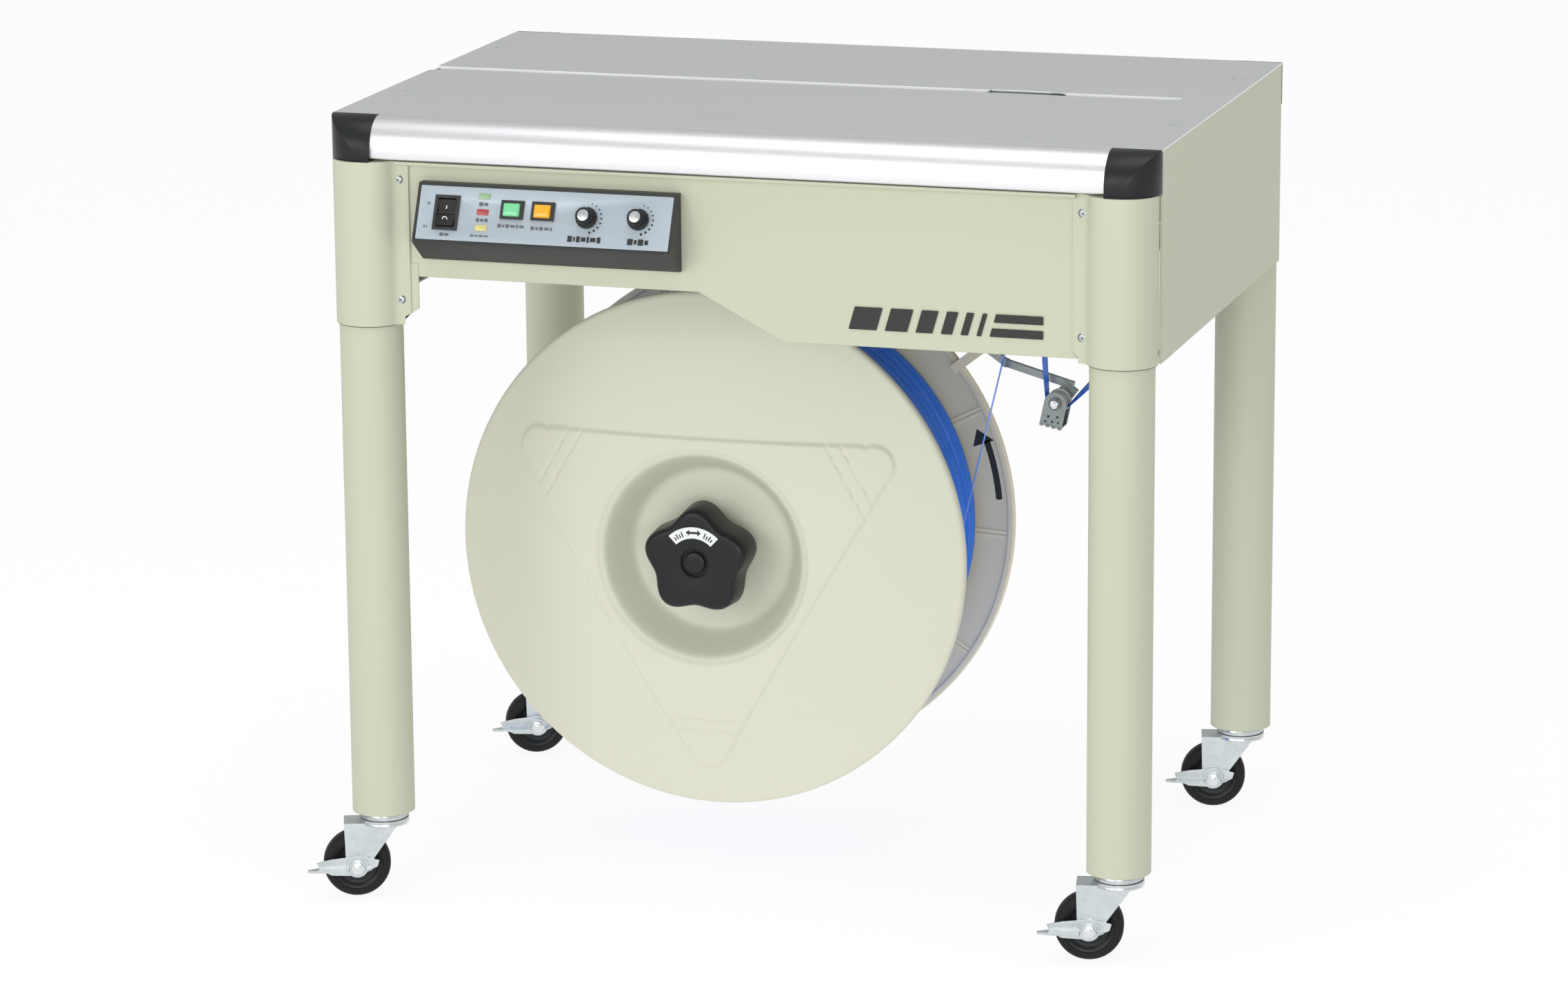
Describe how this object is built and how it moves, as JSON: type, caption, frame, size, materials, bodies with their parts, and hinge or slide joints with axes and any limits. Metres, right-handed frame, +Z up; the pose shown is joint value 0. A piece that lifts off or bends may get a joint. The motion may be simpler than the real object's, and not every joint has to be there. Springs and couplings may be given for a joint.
{
  "type": "semi-automatic strapping machine",
  "caption": "Strapping table on casters with stainless top, sealing head, sloped control panel, hanging strap reel with dished flange, and spring dancer arm.",
  "frame": {"origin": "on the floor under the middle of the machine's bounding box", "axes": "+Z up, -Y towards the operator (the control panel and the dished reel flange face -Y), +X to the operator's right along the strap slot"},
  "size_m": [0.9304, 0.6716, 0.86],
  "materials": {
    "cream_paint": "satin powder coat",
    "cream_plastic": "satin moulded",
    "stainless": "brushed",
    "aluminium": "satin anodised",
    "black_plastic": "satin moulded",
    "zinc_steel": "zinc plated",
    "blue_strap": "embossed polypropylene",
    "grey_plastic": "moulded",
    "panel_film": "silver film",
    "green_lens": "translucent",
    "orange_lens": "translucent",
    "lamp_lens": "tinted",
    "black_rubber": "moulded",
    "dark_steel": "oiled",
    "motor_paint": "gloss enamel",
    "box_paint": "powder coat",
    "red_rubber": "ground"
  },
  "bodies": {
    "table": {"leg_tubes": "cream_paint", "leg_sleeves": "cream_paint", "fasteners": "zinc_steel", "corner_caps": "black_plastic", "long_rails": "zinc_steel", "cross_rails": "zinc_steel", "front_panel": "cream_paint", "rear_panel": "cream_paint", "side_panels": "cream_paint", "front_top_plate": "stainless", "rear_top_plate": "stainless", "edge_bars": "aluminium", "strap_channel": "stainless", "control_housing": "black_plastic", "face_plate": "panel_film", "switch_bezels": "black_plastic", "status_lamps": "lamp_lens", "reel_bracket": "cream_paint", "dancer_post": "zinc_steel", "dancer_spring": "zinc_steel", "guide_bracket": "zinc_steel", "strap_run": "blue_strap", "head_frame": "zinc_steel", "drive_belt": "black_rubber", "drive_motor": "motor_paint", "control_box": "box_paint", "caster_stems": "zinc_steel"},
    "reel": {"reel_core": "grey_plastic", "rear_flange": "grey_plastic", "strap_coil": "blue_strap"},
    "front_flange": {"front_flange": "cream_plastic"},
    "reel_knob": {"reel_knob": "black_plastic"},
    "dancer": {"dancer_arm": "zinc_steel", "brake_shoe": "black_rubber"},
    "dancer_roller": {"dancer_roller": "zinc_steel"},
    "upper_guide_roller": {"upper_guide_roller": "zinc_steel"},
    "lower_guide_roller": {"lower_guide_roller": "zinc_steel"},
    "rocker_switch": {"rocker_switch": "black_plastic"},
    "feed_button": {"feed_button": "green_lens"},
    "reset_button": {"reset_button": "orange_lens"},
    "feed_knob": {"feed_knob": "black_plastic"},
    "tension_knob": {"tension_knob": "black_plastic"},
    "slide_plate": {"slide_plate": "dark_steel"},
    "press_head": {"press_head": "dark_steel"},
    "cam_shaft": {"cam_shaft": "dark_steel"},
    "motor_pulley": {"motor_pulley": "dark_steel"},
    "feed_roller": {"feed_roller": "red_rubber"},
    "pinch_roller": {"pinch_roller": "dark_steel"},
    "front_left_fork": {"front_left_fork": "zinc_steel"},
    "front_left_wheel": {"front_left_wheel": "black_rubber"},
    "front_left_pedal": {"front_left_pedal": "zinc_steel"},
    "front_right_fork": {"front_right_fork": "zinc_steel"},
    "front_right_wheel": {"front_right_wheel": "black_rubber"},
    "front_right_pedal": {"front_right_pedal": "zinc_steel"},
    "rear_left_fork": {"rear_left_fork": "zinc_steel"},
    "rear_left_wheel": {"rear_left_wheel": "black_rubber"},
    "rear_left_pedal": {"rear_left_pedal": "zinc_steel"},
    "rear_right_fork": {"rear_right_fork": "zinc_steel"},
    "rear_right_wheel": {"rear_right_wheel": "black_rubber"},
    "rear_right_pedal": {"rear_right_pedal": "zinc_steel"}
  },
  "joints": [
    {"name": "reel_spin", "type": "hinge", "parent": "table", "child": "reel", "pos_m": [-0.0855, 0.0295, 0.3567], "axis": [0, 1, 0], "continuous": true},
    {"name": "front_flange_pull", "type": "slide", "parent": "reel", "child": "front_flange", "axis": [0, -1, 0], "range_m": [0, 0.12]},
    {"name": "reel_knob_turn", "type": "hinge", "parent": "front_flange", "child": "reel_knob", "pos_m": [-0.0855, -0.1105, 0.3567], "axis": [0, -1, 0], "range_deg": [0, 720]},
    {"name": "dancer_swing", "type": "hinge", "parent": "table", "child": "dancer", "pos_m": [0.1345, 0.0695, 0.616], "axis": [0, -1, 0], "range_deg": [0, 25], "deforming": ["strap_run"]},
    {"name": "dancer_roller_spin", "type": "hinge", "parent": "dancer", "child": "dancer_roller", "pos_m": [0.2787, 0.028, 0.5226], "axis": [0, 1, 0], "continuous": true},
    {"name": "upper_guide_spin", "type": "hinge", "parent": "table", "child": "upper_guide_roller", "pos_m": [0.252, 0.028, 0.659], "axis": [0, 1, 0], "continuous": true},
    {"name": "lower_guide_spin", "type": "hinge", "parent": "table", "child": "lower_guide_roller", "pos_m": [0.3595, 0.028, 0.609], "axis": [0, 1, 0], "continuous": true},
    {"name": "power_switch", "type": "hinge", "parent": "table", "child": "rocker_switch", "pos_m": [-0.2958, -0.31269, 0.76506], "axis": [1, 0, 0], "range_deg": [0, 16]},
    {"name": "feed_button_press", "type": "slide", "parent": "table", "child": "feed_button", "axis": [0, 0.9125, -0.4091], "range_m": [0, 0.003], "stiffness_N_per_m": 250, "springref_m": -0.0005},
    {"name": "reset_button_press", "type": "slide", "parent": "table", "child": "reset_button", "axis": [0, 0.9125, -0.4091], "range_m": [0, 0.003], "stiffness_N_per_m": 250, "springref_m": -0.0005},
    {"name": "feed_time_turn", "type": "hinge", "parent": "table", "child": "feed_knob", "pos_m": [-0.1401, -0.31165, 0.7669], "axis": [0, -0.9125, 0.4091], "range_deg": [-135, 135]},
    {"name": "tension_turn", "type": "hinge", "parent": "table", "child": "tension_knob", "pos_m": [-0.0835, -0.31124, 0.76781], "axis": [0, -0.9125, 0.4091], "range_deg": [-135, 135]},
    {"name": "slide_plate_travel", "type": "slide", "parent": "table", "child": "slide_plate", "axis": [0, 1, 0], "range_m": [0, 0.022]},
    {"name": "press_lift", "type": "slide", "parent": "table", "child": "press_head", "axis": [0, 0, 1], "range_m": [0, 0.0055]},
    {"name": "cam_spin", "type": "hinge", "parent": "table", "child": "cam_shaft", "pos_m": [0.2405, 0.0295, 0.789], "axis": [0, 1, 0], "continuous": true},
    {"name": "motor_spin", "type": "hinge", "parent": "table", "child": "motor_pulley", "pos_m": [0.3045, 0.0915, 0.704], "axis": [0, 1, 0], "continuous": true},
    {"name": "feed_spin", "type": "hinge", "parent": "table", "child": "feed_roller", "pos_m": [0.1609, 0.028, 0.774], "axis": [0, 1, 0], "continuous": true},
    {"name": "pinch_spin", "type": "hinge", "parent": "table", "child": "pinch_roller", "pos_m": [0.1901, 0.028, 0.774], "axis": [0, 1, 0], "continuous": true},
    {"name": "front_left_swivel", "type": "hinge", "parent": "table", "child": "front_left_fork", "pos_m": [-0.3965, -0.2795, 0.084], "axis": [0, 0, 1], "continuous": true},
    {"name": "front_left_wheel_spin", "type": "hinge", "parent": "front_left_fork", "child": "front_left_wheel", "pos_m": [-0.42478, -0.29093, 0.0365], "axis": [-0.3746, 0.9272, 0], "continuous": true},
    {"name": "front_left_brake", "type": "hinge", "parent": "front_left_fork", "child": "front_left_pedal", "pos_m": [-0.42478, -0.29093, 0.0365], "axis": [0.3746, -0.9272, 0], "range_deg": [0, 18]},
    {"name": "front_right_swivel", "type": "hinge", "parent": "table", "child": "front_right_fork", "pos_m": [0.4255, -0.2795, 0.084], "axis": [0, 0, 1], "continuous": true},
    {"name": "front_right_wheel_spin", "type": "hinge", "parent": "front_right_fork", "child": "front_right_wheel", "pos_m": [0.39567, -0.28584, 0.0365], "axis": [-0.2079, 0.9781, 0], "continuous": true},
    {"name": "front_right_brake", "type": "hinge", "parent": "front_right_fork", "child": "front_right_pedal", "pos_m": [0.39567, -0.28584, 0.0365], "axis": [0.2079, -0.9781, 0], "range_deg": [0, 18]},
    {"name": "rear_left_swivel", "type": "hinge", "parent": "table", "child": "rear_left_fork", "pos_m": [-0.3965, 0.2985, 0.084], "axis": [0, 0, 1], "continuous": true},
    {"name": "rear_left_wheel_spin", "type": "hinge", "parent": "rear_left_fork", "child": "rear_left_wheel", "pos_m": [-0.42436, 0.28609, 0.0365], "axis": [-0.4067, 0.9135, 0], "continuous": true},
    {"name": "rear_left_brake", "type": "hinge", "parent": "rear_left_fork", "child": "rear_left_pedal", "pos_m": [-0.42436, 0.28609, 0.0365], "axis": [0.4067, -0.9135, 0], "range_deg": [0, 18]},
    {"name": "rear_right_swivel", "type": "hinge", "parent": "table", "child": "rear_right_fork", "pos_m": [0.4255, 0.2985, 0.084], "axis": [0, 0, 1], "continuous": true},
    {"name": "rear_right_wheel_spin", "type": "hinge", "parent": "rear_right_fork", "child": "rear_right_wheel", "pos_m": [0.39578, 0.29164, 0.0365], "axis": [-0.225, 0.9744, 0], "continuous": true},
    {"name": "rear_right_brake", "type": "hinge", "parent": "rear_right_fork", "child": "rear_right_pedal", "pos_m": [0.39578, 0.29164, 0.0365], "axis": [0.225, -0.9744, 0], "range_deg": [0, 18]}
  ],
  "couplings": [
    {"joint": "motor_spin", "follows": "cam_spin", "ratio": 2.1818},
    {"joint": "pinch_spin", "follows": "feed_spin", "ratio": -1.3333}
  ]
}
